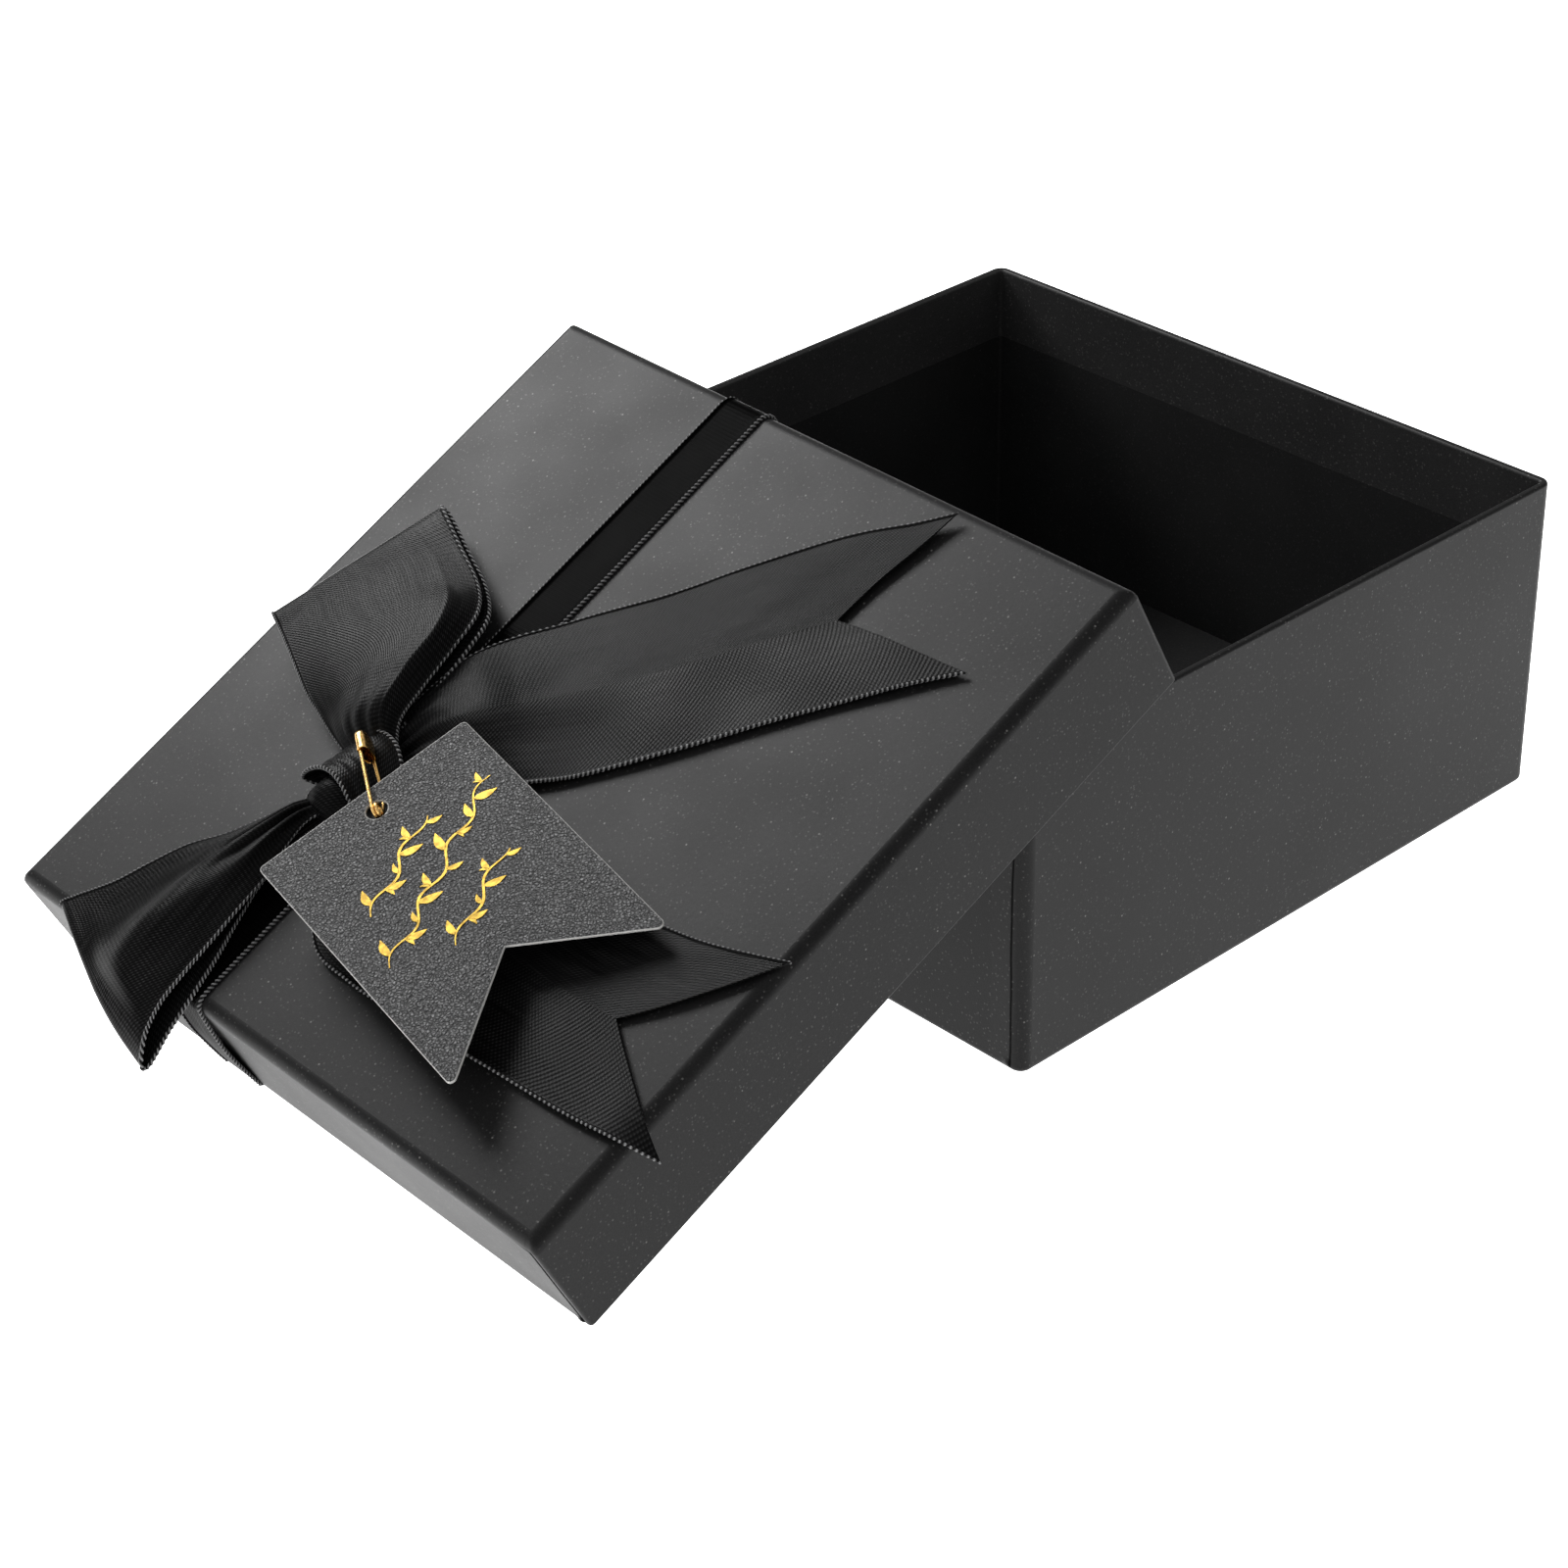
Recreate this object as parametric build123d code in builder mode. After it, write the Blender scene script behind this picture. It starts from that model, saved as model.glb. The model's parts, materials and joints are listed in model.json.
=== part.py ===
from build123d import *
import os
from math import cos, radians, sin

# A square rigid gift box, its lid leaning on it with a ribbon bow, a gift tag and a safety pin.
# Millimetres. Origin at the middle of the base's underside, +Z up, X from the base's front corner
# along its right-hand front wall, Y along its left-hand front wall.

# Box board and papers
paper = 0.2
board = 1.3
glue_film = 0.1
wall = 2 * paper + board + glue_film

# Base tray
base_side = 160.0
base_height = 73.0
base_corner = 2.8
base_foot_edge = 1.4
base_turn_in = 17.0
foot_turn_in = 15.0

# Lid tray
lid_side = 165.8
lid_depth = 27.7
lid_corner = 3.0
lid_top_edge = 2.8
lid_turn_in = 15.0

# Both trays
rim_edge = 0.7
stay_leg = 14.0
stay_margin = 2.0

# How the lid leans: the low skirt edge just over the floor, the high end over the open base
lid_pitch = 27.2
lid_yaw = -1.8
lid_x = -126.4
lid_y = 1.7
lid_floor_gap = 0.2

# Ribbon band round the lid
band_width = 12.0
band_thickness = 0.35
band_gap = 0.05
band_y = 25.0
band_tuck = 12.0

# Bow of wide ribbon, heights above the lid's top
tail_low = 0.6
tail_high = 2.4
loop_low = 2.7
upper_loop_high = 12.0
lower_loop_low = 0.6
lower_loop_high = 8.4
loop_edge = 2.5
knot_length = 20.0
knot_width = 14.0
knot_low = 0.6
knot_high = 6.8
knot_edge = 2.5
knot_centre = (-27.5, 26.5)
knot_turn = -16.0

# Gift tag, in its own frame with the origin at the middle of its hole
tag_width = 48.8
tag_length = 75.4
tag_thickness = 1.2
tag_notch = 23.3
tag_corner = 1.8
tag_hole_radius = 2.3
tag_hole_to_edge = 5.7
tag_place = (-34.1, 10.3, 10.0)
tag_yaw = -9.8
tag_roll = 4.3
tag_slope = 3.5

# Safety pin, in its own frame with the origin at the middle of its coil
wire_radius = 0.35
coil_radius = 1.35
turn_offset = 0.38
pin_heading = 57.5
pin_slope = 3.0
coil_turn = 330.0
needle_dip = 28.0
needle_bend_radius = 20.0
needle_bend = 36.0
needle_straight = 6.6
point_length = 1.6
back_arm_end = 17.0
cap_start = 15.4
cap_end = 21.0
cap_low = -3.3
cap_high = 2.1
cap_half_width = 1.35
cap_sheet = 0.3
cap_edge = 0.9
bore_clearance = 0.1

os.makedirs("parts", exist_ok=True)


def save(part, name):
    """Label one finished sub-part and write its STEP file."""
    part.label = name
    export_step(part, f"parts/{name}.step")


# ---------------------------------------------------------------- frames

lid_rise = lid_side / 2 * sin(radians(lid_pitch)) + lid_depth * cos(radians(lid_pitch))
lid_x_dir = Vector(1, 0, 0).rotate(Axis.Y, -lid_pitch).rotate(Axis.Z, lid_yaw)
lid_normal = Vector(0, 0, 1).rotate(Axis.Y, -lid_pitch).rotate(Axis.Z, lid_yaw)
lid_origin = (lid_x, lid_y, lid_rise + lid_floor_gap)

# On the lid's top, X towards the high side and Z out of it
lid_top = Plane(origin=lid_origin, x_dir=lid_x_dir, z_dir=lid_normal)
# The same place with Z into the lid, from the closed face to the rim
lid_inward = Plane(origin=lid_origin, x_dir=lid_x_dir, z_dir=-lid_normal)

tag_frame = Plane(lid_top.location * Location(tag_place, (tag_slope, tag_roll, tag_yaw)))
tag_sketch = tag_frame.offset(-tag_thickness / 2)

pin_frame = Plane(lid_top.location * Location(tag_place, (0, -pin_slope, pin_heading)))
pin_side = Plane(origin=pin_frame.origin, x_dir=pin_frame.x_dir, z_dir=-pin_frame.y_dir)


# ---------------------------------------------------------------- trays

def block(plane, side, low, high, corner, closed_edge=0.0):
    """A square block with round corners, and a round edge at its low end."""
    with BuildPart() as body:
        with BuildSketch(plane.offset(low)):
            RectangleRounded(side, side, corner)
        extrude(amount=high - low)
        if closed_edge > 0:
            along = Axis(plane.origin, plane.z_dir)
            fillet(body.faces().sort_by(along)[0].edges(), closed_edge)
    return body.part


def tray(plane, outer, inner, low, floor, high, corner, closed_edge, rim):
    """An open tray: a block with a square hollow above its floor and a round rim."""
    with BuildPart() as body:
        add(block(plane, outer, low, high, corner, closed_edge))
        add(block(plane, inner, floor, high, corner / 4), mode=Mode.SUBTRACT)
        along = Axis(plane.origin, plane.z_dir)
        fillet(body.faces().sort_by(along)[-1].edges(), rim)
    return body.part


def make_wrap(name, plane, side, depth, low, corner, closed_edge, turn_in, window):
    """Covering paper: outside, rim, turned in round the inside, and under the closed face."""
    hollow = side - 2 * wall
    skin = low + paper
    floor = skin + board
    inside = hollow + 2 * paper
    with BuildPart() as wrap:
        add(tray(plane, side, hollow, low, floor, depth, corner, closed_edge, rim_edge))
        core = tray(
            plane, side - 2 * paper, inside, skin, floor, depth - paper,
            corner - paper, closed_edge - paper, rim_edge - paper,
        )
        add(core, mode=Mode.SUBTRACT)
        add(block(plane, inside, floor, depth - turn_in, corner / 4), mode=Mode.SUBTRACT)
        if window > 0:
            add(block(plane, window, low, skin, corner), mode=Mode.SUBTRACT)
    save(wrap.part, name)


def make_boards(prefix, panel_name, wall_names, plane, side, depth, low, corner, closed_edge):
    """One flat panel and four walls that meet at mitred corners."""
    outer = side - 2 * (paper + glue_film)
    inside = side - 2 * wall + 2 * paper
    shrink = paper + glue_film
    start = low + paper
    stop = depth - shrink
    shell = tray(
        plane, outer, inside, start, start + board, stop,
        corner - shrink, closed_edge - shrink, rim_edge - shrink,
    )
    column = block(plane, inside, start, stop, corner / 4)
    with BuildPart() as panel:
        add(shell)
        add(column, mode=Mode.INTERSECT)
    save(panel.part, f"{prefix}_{panel_name}")
    for index, wall_name in enumerate(wall_names):
        with BuildPart() as wall_board:
            add(shell)
            add(column, mode=Mode.SUBTRACT)
            with BuildSketch(plane.offset(start)):
                with Locations(Rotation(0, 0, 90 * index)):
                    Polygon((0, 0), (side, -side), (side, side), align=None)
            extrude(amount=stop - start, mode=Mode.INTERSECT)
        save(wall_board.part, f"{prefix}_{wall_name}")


def make_stays(prefix, plane, side, depth, low, corner, closed_edge):
    """Paper stays round the four board corners, between board and wrap."""
    start = low + paper + closed_edge + stay_margin
    stop = depth - paper - rim_edge - stay_margin
    outer = side - 2 * paper
    inner = outer - 2 * glue_film
    reach = outer / 2 - stay_leg / 2
    for index in range(4):
        with BuildPart() as stay:
            add(block(plane, outer, start, stop, corner - paper))
            add(block(plane, inner, start, stop, corner - paper - glue_film), mode=Mode.SUBTRACT)
            with BuildSketch(plane.offset(start)):
                with Locations(Rotation(0, 0, 90 * index)):
                    with Locations((reach, reach)):
                        Rectangle(stay_leg, stay_leg)
            extrude(amount=stop - start, mode=Mode.INTERSECT)
        save(stay.part, f"{prefix}_corner_stay_{index + 1}")


def make_linings(wall_lining, panel_lining, plane, side, depth, low, corner, turn_in):
    """Lining paper on the inside walls below the turned-in wrap, and on the panel."""
    hollow = side - 2 * wall
    inside = hollow + 2 * paper
    start = low + paper + board
    with BuildPart() as liner:
        add(block(plane, inside, start, depth - turn_in, corner / 4))
        add(block(plane, hollow, start, depth - turn_in, corner / 4), mode=Mode.SUBTRACT)
    save(liner.part, wall_lining)
    with BuildPart() as panel_sheet:
        add(block(plane, hollow, start, start + paper, corner / 4))
    save(panel_sheet.part, panel_lining)


# Base: a paper sheet closes the underside, so the wrap starts one paper higher
base_low = paper
make_wrap(
    "base_wrap", Plane.XY, base_side, base_height, base_low, base_corner, base_foot_edge,
    base_turn_in, base_side - 2 * foot_turn_in,
)
make_boards(
    "base", "bottom_board", ("wall_rear_right", "wall_rear_left", "wall_front_left", "wall_front_right"),
    Plane.XY, base_side, base_height, base_low, base_corner, base_foot_edge,
)
make_stays("base", Plane.XY, base_side, base_height, base_low, base_corner, base_foot_edge)
make_linings(
    "base_liner", "base_floor_paper", Plane.XY, base_side, base_height, base_low, base_corner,
    base_turn_in,
)
with BuildPart() as base_bottom_sheet:
    with BuildSketch(Plane.XY):
        RectangleRounded(base_side - 4 * base_foot_edge, base_side - 4 * base_foot_edge, base_corner)
    extrude(amount=paper)
save(base_bottom_sheet.part, "base_bottom_sheet")

# Lid: the wrap covers the whole top
make_wrap(
    "lid_wrap", lid_inward, lid_side, lid_depth, 0.0, lid_corner, lid_top_edge, lid_turn_in, 0.0,
)
make_boards(
    "lid", "top_board", ("wall_high", "wall_right", "wall_low", "wall_left"),
    lid_inward, lid_side, lid_depth, 0.0, lid_corner, lid_top_edge,
)
make_stays("lid", lid_inward, lid_side, lid_depth, 0.0, lid_corner, lid_top_edge)
make_linings(
    "lid_liner", "lid_ceiling_paper", lid_inward, lid_side, lid_depth, 0.0, lid_corner, lid_turn_in,
)


# ---------------------------------------------------------------- ribbon band

def lid_section(grow):
    """The lid's filled cross-section, grown by a distance all round."""
    with BuildSketch() as section:
        with Locations((0, -lid_depth / 2)):
            Rectangle(lid_side + 2 * grow, lid_depth + 2 * grow)
        fillet(section.vertices().group_by(Axis.Y)[-1], lid_top_edge + grow)
        fillet(section.vertices().group_by(Axis.Y)[0], rim_edge + grow)
    return section.sketch


band_edge_origin = lid_top.from_local_coords((0, band_y + band_width / 2, 0))
band_plane = Plane(origin=band_edge_origin, x_dir=lid_top.x_dir, z_dir=-lid_top.y_dir)
band_reach = band_gap + band_thickness
lid_hollow = lid_side - 2 * wall
band_foot = -lid_depth - band_reach

with BuildPart() as ribbon_band:
    with BuildSketch(band_plane):
        add(lid_section(band_reach))
        add(lid_section(band_gap), mode=Mode.SUBTRACT)
        with Locations((0, band_foot)):
            Rectangle(lid_hollow - 2 * band_reach, 4 * band_reach, mode=Mode.SUBTRACT)
        with Locations((lid_hollow / 2 - band_gap - band_thickness / 2, band_foot + band_tuck / 2)):
            Rectangle(band_thickness, band_tuck)
        with Locations((band_gap + band_thickness / 2 - lid_hollow / 2, band_foot + band_tuck / 2)):
            Rectangle(band_thickness, band_tuck)
    extrude(amount=band_width)
save(ribbon_band.part, "ribbon_band")


# ---------------------------------------------------------------- bow

def bow_slab(name, outline, low, high, edge):
    """A closed solid over an outline on the lid's top, with its upper edge rounded."""
    with BuildPart() as slab:
        with BuildSketch(lid_top.offset(low)):
            Polygon(*outline, align=None)
        extrude(amount=high - low)
        if edge > 0:
            top = slab.faces().sort_by(Axis(lid_top.origin, lid_top.z_dir))[-1]
            chamfer(top.edges(), edge)
    save(slab.part, name)


bow_slab(
    "bow_tail_right",
    [
        (-14.5, 22), (2, 31), (16, 26), (28, 13.5), (51.5, -10), (76, -28.5), (81, -36),
        (52, -32.5), (52, -66), (26.5, -40.5), (4.5, -20.5), (-9.5, -4.5), (-14.5, 8),
    ],
    tail_low, tail_high, 0.0,
)
bow_slab(
    "bow_tail_front",
    [
        (-36, 17), (-20, 15), (-16.5, -12), (-18, -35), (-20.5, -58), (-14, -82),
        (-37, -61), (-57, -90), (-61, -48), (-57, -24), (-47, -2),
    ],
    tail_low, tail_high, 0.0,
)
bow_slab(
    "bow_loop_upper",
    [(-22, 37), (-24.5, 46), (-10, 76), (27.5, 60.5), (15, 33), (-8, 29), (-14.5, 33)],
    loop_low, upper_loop_high, loop_edge,
)
bow_slab(
    "bow_loop_lower",
    [(-39, 25), (-39.5, 35), (-56, 41.5), (-82.5, 58), (-94, 38), (-96, 24), (-74, 21.5), (-58, 26)],
    lower_loop_low, lower_loop_high, loop_edge,
)


# ---------------------------------------------------------------- safety pin

def wire_along(path, radius):
    """A round wire swept along a path, added to the current part."""
    with BuildSketch(Plane(origin=path @ 0, z_dir=path % 0)) as section:
        Circle(radius)
    sweep(sections=section.sketch, path=path)


def needle_line():
    """The coil's turn and the bowed pointed arm, up to where its point starts."""
    with BuildLine(pin_side.offset(turn_offset)) as path:
        turn_end = 270.0 - needle_dip
        turn = CenterArc((0, 0), coil_radius, turn_end - coil_turn, coil_turn)
        bow = JernArc(turn @ 1, turn % 1, needle_bend_radius, needle_bend)
        PolarLine(bow @ 1, needle_straight, direction=bow % 1)
    return path.wire()


def back_arm_line():
    """The coil's other turn and the straight back arm, up into the cap."""
    with BuildLine(pin_side.offset(-turn_offset)) as path:
        turn = CenterArc((0, 0), coil_radius, 90.0 + coil_turn, -coil_turn)
        PolarLine(turn @ 1, back_arm_end, direction=turn % 1)
    return path.wire()


needle_path = needle_line()

with BuildPart() as pin_needle:
    wire_along(needle_path, wire_radius)
    with Locations(Plane(origin=needle_path @ 1, z_dir=needle_path % 1)):
        Cone(
            wire_radius, wire_radius / 8, point_length,
            align=(Align.CENTER, Align.CENTER, Align.MIN),
        )
save(pin_needle.part, "pin_needle")

with BuildPart() as pin_back:
    wire_along(back_arm_line(), wire_radius)
save(pin_back.part, "pin_back")

cap_length = cap_end - cap_start
cap_inner_top = coil_radius + wire_radius
with BuildPart() as pin_cap:
    with BuildSketch(pin_side.offset(-cap_half_width)):
        with Locations((cap_start + cap_length / 2, (cap_high + cap_low) / 2)):
            Rectangle(cap_length, cap_high - cap_low)
        fillet(vertices().group_by(Axis.X)[-1], 2 * cap_edge)
    extrude(amount=2 * cap_half_width)
    top_edges = pin_cap.edges().filter_by(GeomType.LINE).group_by(
        Axis(pin_frame.origin, pin_frame.z_dir))[-1]
    fillet(top_edges.filter_by(Axis(pin_frame.origin, pin_frame.x_dir)), cap_edge / 3)
    with BuildSketch(pin_side.offset(cap_sheet - cap_half_width)):
        hollow_end = cap_end - cap_sheet
        with Locations(((cap_start + hollow_end) / 2, (cap_inner_top + cap_low) / 2)):
            Rectangle(hollow_end - cap_start, cap_inner_top - cap_low)
        fillet(vertices().group_by(Axis.X)[-1].sort_by(Axis.Y)[-1], 2 * cap_edge - cap_sheet)
    extrude(amount=2 * (cap_half_width - cap_sheet), mode=Mode.SUBTRACT)
save(pin_cap.part, "pin_cap")


# ---------------------------------------------------------------- knot

with BuildPart() as needle_bore:
    wire_along(needle_path, wire_radius + bore_clearance)

with BuildPart() as bow_knot:
    with BuildSketch(lid_top.offset(knot_low)):
        with Locations(Location((*knot_centre, 0), (0, 0, knot_turn))):
            RectangleRounded(knot_length, knot_width, 2 * knot_edge)
    extrude(amount=knot_high - knot_low)
    knot_top = bow_knot.faces().sort_by(Axis(lid_top.origin, lid_top.z_dir))[-1]
    fillet(knot_top.edges(), knot_edge)
    add(needle_bore.part, mode=Mode.SUBTRACT)
save(bow_knot.part, "bow_knot")


# ---------------------------------------------------------------- gift tag

tag_head = tag_hole_to_edge
tag_foot = tag_hole_to_edge - tag_length
with BuildPart() as tag:
    with BuildSketch(tag_sketch):
        Polygon(
            (-tag_width / 2, tag_head), (tag_width / 2, tag_head), (tag_width / 2, tag_foot),
            (0, tag_foot + tag_notch), (-tag_width / 2, tag_foot), align=None,
        )
        fillet(vertices(), tag_corner)
        Circle(tag_hole_radius, mode=Mode.SUBTRACT)
    extrude(amount=tag_thickness)
save(tag.part, "tag")
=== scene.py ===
import json
import math

import bmesh
import bpy
import numpy as np
from mathutils import Matrix, Vector, noise


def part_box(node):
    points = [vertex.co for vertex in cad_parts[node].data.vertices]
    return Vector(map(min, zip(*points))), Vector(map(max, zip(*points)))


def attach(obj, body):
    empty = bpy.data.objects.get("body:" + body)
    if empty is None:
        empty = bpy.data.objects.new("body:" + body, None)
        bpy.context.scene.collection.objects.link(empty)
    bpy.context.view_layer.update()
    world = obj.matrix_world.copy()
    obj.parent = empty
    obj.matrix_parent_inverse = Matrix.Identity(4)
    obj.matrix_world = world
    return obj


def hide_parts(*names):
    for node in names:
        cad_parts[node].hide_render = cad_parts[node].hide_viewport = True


# The looks of a leaning gift box: paper wrap, satin band and bow, leatherette tag, gold foil and safety pin.
# Ribbon shapes are given in millimetres in the lid's own frame: X up the slope, Y across, H out of the top.

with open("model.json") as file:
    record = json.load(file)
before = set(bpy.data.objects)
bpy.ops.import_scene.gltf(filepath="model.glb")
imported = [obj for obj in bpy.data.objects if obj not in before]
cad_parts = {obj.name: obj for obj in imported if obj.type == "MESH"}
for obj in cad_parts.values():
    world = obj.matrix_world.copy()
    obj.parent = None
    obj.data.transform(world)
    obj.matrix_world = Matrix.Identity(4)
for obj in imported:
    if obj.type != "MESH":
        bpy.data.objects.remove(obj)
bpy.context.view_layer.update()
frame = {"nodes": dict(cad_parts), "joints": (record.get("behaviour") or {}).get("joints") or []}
MM = 0.001

# Ribbon
RIBBON_WIDTH = 40.0
BAND_WIDTH = 12.0
BAND_Y = 25.0
CLOTH_HALF = 0.13
BEAD_RADIUS = 0.36
BEAD_PITCH = 1.0
BEAD_TWIST = 0.34
BEAD_POINTS = 7
BEAD_REACH = 115
ROW_STEP = 0.19
BAND_COLUMNS = 9
BOW_COLUMNS = 57
KNOT_COLUMNS = 37
PUFF_COLUMNS = 41
NOTCH_DEPTH = 24.5
PUFF_WIDTH = 13.0
# Painted glint tone for the crests of the selvedge beads
SELVEDGE_PAINTED_GLINT_TONE = (0.22, 0.22, 0.222)
FLOAT_PITCH = 0.00062
WEFT_PITCH = 0.0009
WEFT_SHARE = 0.6
FLOAT_SLANT = 0.62
STREAK_SCALES = (900.0, 70.0, 1.0)
SATIN_CLOUD = 60.0
KNOT_WIDTH = 14.0
KNOT_CREASES = 6
KNOT_CREASE_DEPTH = 0.13
LOOP_CRISP_COLUMN = 4
LOOP_CRISP_REACH = 0.14

# Covering paper
FLAP_WIDTH = 7.0
FLAP_THICK = 0.13
FLAP_INSET = 2.9
LID_FLAP_INSET = 1.5
LID_CORNER = 3.0
LID_CREASE = 0.9
LID_EDGE = 2.8
LID_WALL = 1.75
FLAP_ROLL = 0.34
FLAP_SUNK = 0.03
FLAP_BACK = 0.09
LID_WALL_BLEND = 1.3
PAPER_CLOUD = 38.0
PAPER_GRAIN = 3400.0
PAPER_FIBRE = 900.0
# Specks: scale of the cells, share of the cells that hold one, and its size
FINE_SPECKS = (1150.0, 0.85, 0.16)
LARGE_SPECKS = (560.0, 0.38, 0.08)
GRAIN_GAIN = 1.9
FINE_SPECK_GAIN = 0.34
SPECK_SMOOTHER = 0.12
CUT_EDGE_TONE = (0.0004, 0.0004, 0.0004)
CUT_EDGE_ROUGHER = 0.5

# Bump: depth in metres and strength
PAPER_BUMP = (0.00005, 0.5)
WEAVE_BUMP = (0.00008, 0.6)
LEATHER_BUMP = (0.00016, 0.9)
GOLD_BUMP = (0.00003, 0.4)
BOARD_BUMP = (0.0001, 0.6)

# Tag
TAG_HALF = 0.36
TAG_EMBOSS = 0.16
TAG_STEP = 0.30
MEAN_RELIEF = 0.6
RIM_RELIEF = 0.4
RIM_DROP = 0.05
TAG_CORNER = 1.1
LEATHER_CELLS = 1500.0
LEATHER_GRAIN = 4200.0
LEATHER_FINE_SHARE = 0.55
# Leather tones: painted shade in the creases, the pebble and grain tones, and the pale edge, partly a
# painted rim highlight
CREASE_PAINTED_SHADE_TONE = (0.003, 0.003, 0.0032)
PEBBLE_TONE = (0.165, 0.165, 0.168)
GRAIN_TONE = (0.22, 0.22, 0.222)
PALE_EDGE_AND_HIGHLIGHT_TONE = (0.52, 0.515, 0.50)
PEBBLE_ACROSS = 1.45
PEBBLE_DOWN = 1.3
PEBBLE_STEEPNESS = 2.2
FOIL_SLANT = math.radians(33.0)
FOIL_SUNK = 0.03
FOIL_THICK = 0.13
VINE_WAVE = 13.0
LEAF_STEPS = 9
STEM_STEPS = 60
# Sprigs of foil: middle, length, leaves and leaf height
FOIL_ROWS = [((-4.4, -15.3), 24.5, 6, 5.6), ((0.9, -22.6), 46.0, 11, 5.8), ((3.1, -34.0), 23.0, 6, 5.2)]

# Safety pin's cap
CAP_SHEET = 0.26
CAP_STATIONS = 26
CAP_TURNS = 49
CAP_NOSE = 0.62
CAP_NOSE_POWER = 2.4
CAP_SQUARENESS = 0.7
CAP_SLOT = 0.16
CAP_SLOT_END = 0.72

# Light: the floor's painted glow by distance from the box, and the world's tones by height
FLOOR_HALF = 6.0
FLOOR_TONES = (0.60, 0.60, 0.60), (0.63, 0.63, 0.63)
FLOOR_NEAR, FLOOR_FAR = 0.3, 1.2
GLOW_NEAR, GLOW_FAR = 3.3, 1.6
HORIZON_TONE = (0.33, 0.33, 0.33)
OVERHEAD_TONE = (0.68, 0.68, 0.68)
LIGHT_AIM = (-0.05, 0, 0.05)
# Soft boxes: place, size and power
KEY_LIGHT = (-0.05, 0.85, 0.75), 0.5, 14.5
FILL_LIGHT = (-1.3, 0.3, 0.9), 0.6, 2.0

# Camera, in metres: place, lens and the three directions of its frame
CAMERA_PLACE = (-0.53198, -0.50001, 0.44044)
CAMERA_LENS = 88.80
CAMERA_SENSOR = 36.0
CAMERA_RIGHT = (0.725668, -0.687854, -0.016185)
CAMERA_DOWN = (-0.366198, -0.366201, -0.855451)
CAMERA_AHEAD = (0.582499, 0.6267, -0.517631)


# ---- frames

def corners(node):
    """A CAD node's vertices as rows of metres."""
    return np.array([vertex.co for vertex in frame["nodes"][node].data.vertices])


def up_face(node):
    """The upward normal of a CAD node's largest flat face."""
    widest = max(frame["nodes"][node].data.polygons, key=lambda face: face.area)
    normal = np.array(widest.normal)
    return normal if normal[2] > 0 else -normal


def unit(vectors):
    """Vectors scaled to length one along their last axis."""
    return vectors / np.maximum(np.linalg.norm(vectors, axis=-1, keepdims=True), 1e-9)


class Local:
    """A right-handed frame with places in millimetres."""

    def __init__(self, origin, x_axis, z_axis):
        y_axis = unit(np.cross(z_axis, x_axis))
        self.axes = np.stack([unit(np.cross(y_axis, z_axis)), y_axis, unit(z_axis)])
        self.origin = np.asarray(origin, float)

    def place(self, points):
        return self.origin + np.asarray(points, float) * MM @ self.axes

    def read(self, points):
        return (np.asarray(points, float) - self.origin) @ self.axes.T / MM


def lid_frame():
    """A frame on the lid's top, X up the slope and the origin in the middle, and the lid's size."""
    up = up_face("lid_top_board")
    across = unit(np.array([up[1], -up[0], 0.0]))
    level = Local((0, 0, 0), np.cross(across, up), up)
    shell = level.read(corners("lid_wrap"))
    low, high = shell.min(0), shell.max(0)
    middle = [(low[0] + high[0]) / 2, (low[1] + high[1]) / 2, high[2]]
    return Local(level.place(middle), level.axes[0], up), high - low


def joint(name):
    return next(entry for entry in frame["joints"] if entry["name"] == name)


lid, lid_size = lid_frame()
swing = joint("tag_swing")
tag_frame = Local(swing["pos_m"], -np.array(swing["axis"]), up_face("tag"))


# ---- node materials

def new_material(name):
    """A new material, its node tree and its Principled shader."""
    made = bpy.data.materials.new(name)
    made.use_nodes = True
    tree = made.node_tree
    return made, tree, tree.nodes["Principled BSDF"]


def feed(tree, target, inputs):
    """Links a node's inputs to sockets, or sets them to plain values."""
    for key, value in inputs.items():
        if isinstance(value, bpy.types.NodeSocket):
            tree.links.new(value, target.inputs[key])
        else:
            target.inputs[key].default_value = value


def node(tree, kind, inputs=None, **settings):
    made = tree.nodes.new("ShaderNode" + kind)
    for key, value in settings.items():
        setattr(made, key, value)
    feed(tree, made, inputs or {})
    return made


def object_place(tree):
    return node(tree, "TexCoord").outputs["Object"]


def noise_node(tree, place, scale, detail=3.0, roughness=0.5):
    inputs = {"Vector": place, "Scale": scale, "Detail": detail, "Roughness": roughness}
    return node(tree, "TexNoise", inputs).outputs["Fac"]


def maths(tree, operation, *values, clamp=False):
    return node(tree, "Math", dict(enumerate(values)), operation=operation, use_clamp=clamp).outputs[0]


def mix_colour(tree, factor, dark, light):
    ends = [(*tone, 1.0) if isinstance(tone, tuple) else tone for tone in (dark, light)]
    made = node(tree, "Mix", {"Factor": factor}, data_type="RGBA")
    feed(tree, made, {6: ends[0], 7: ends[1]})
    return made.outputs[2]


def remap(tree, value, low, high, to_low=0.0, to_high=1.0):
    return node(tree, "MapRange", {
        "Value": value, "From Min": low, "From Max": high, "To Min": to_low, "To Max": to_high,
    }).outputs["Result"]


def bump(tree, height, distance, strength):
    inputs = {"Height": height, "Distance": distance, "Strength": strength}
    return node(tree, "Bump", inputs).outputs["Normal"]


def painted(tree, name):
    """The number that a mesh stores at each of its points under a name."""
    return node(tree, "Attribute", attribute_name=name).outputs["Fac"]


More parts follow.
